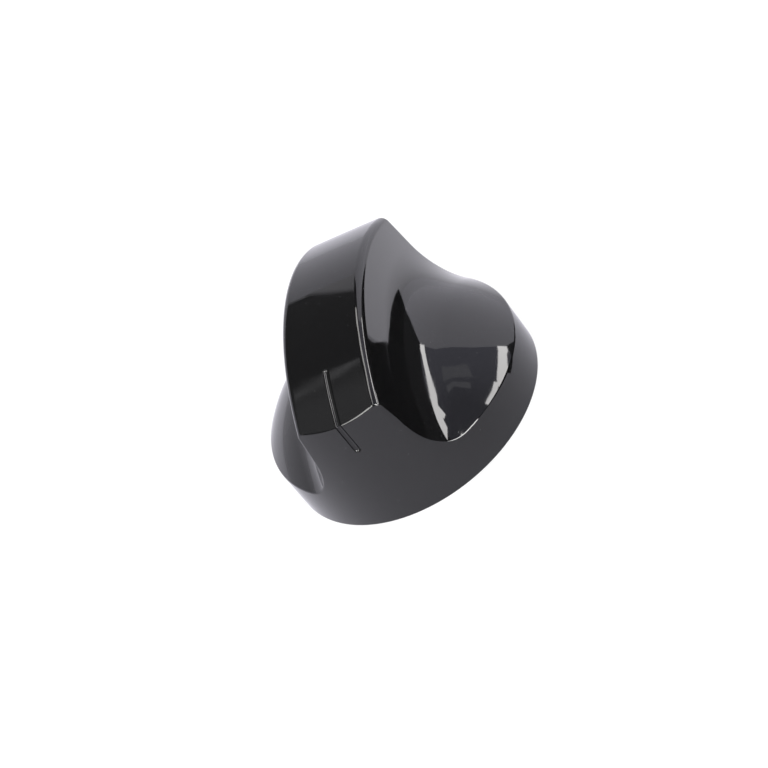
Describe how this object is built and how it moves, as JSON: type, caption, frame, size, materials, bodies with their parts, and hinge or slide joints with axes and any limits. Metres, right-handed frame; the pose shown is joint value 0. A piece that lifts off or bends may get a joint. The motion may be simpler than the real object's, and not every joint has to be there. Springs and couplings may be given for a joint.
{
  "type": "oven control knob",
  "caption": "Round gloss black control knob with an arched grip bar, domed shoulders, a pointer groove and a split D-bore hub with a spring band behind.",
  "frame": {"origin": "centre of the back rim, where the knob faces the control panel", "axes": "+Z along the knob's axis, out of the panel; X across the grip; the pointer is at the -Y end"},
  "size_m": [0.044, 0.044, 0.0282],
  "materials": {
    "gloss_black_plastic": "high gloss",
    "spring_steel": "rolled, satin"
  },
  "bodies": {
    "root": {"knob_body": "gloss_black_plastic", "hub_spring_band": "spring_steel"}
  },
  "joints": []
}
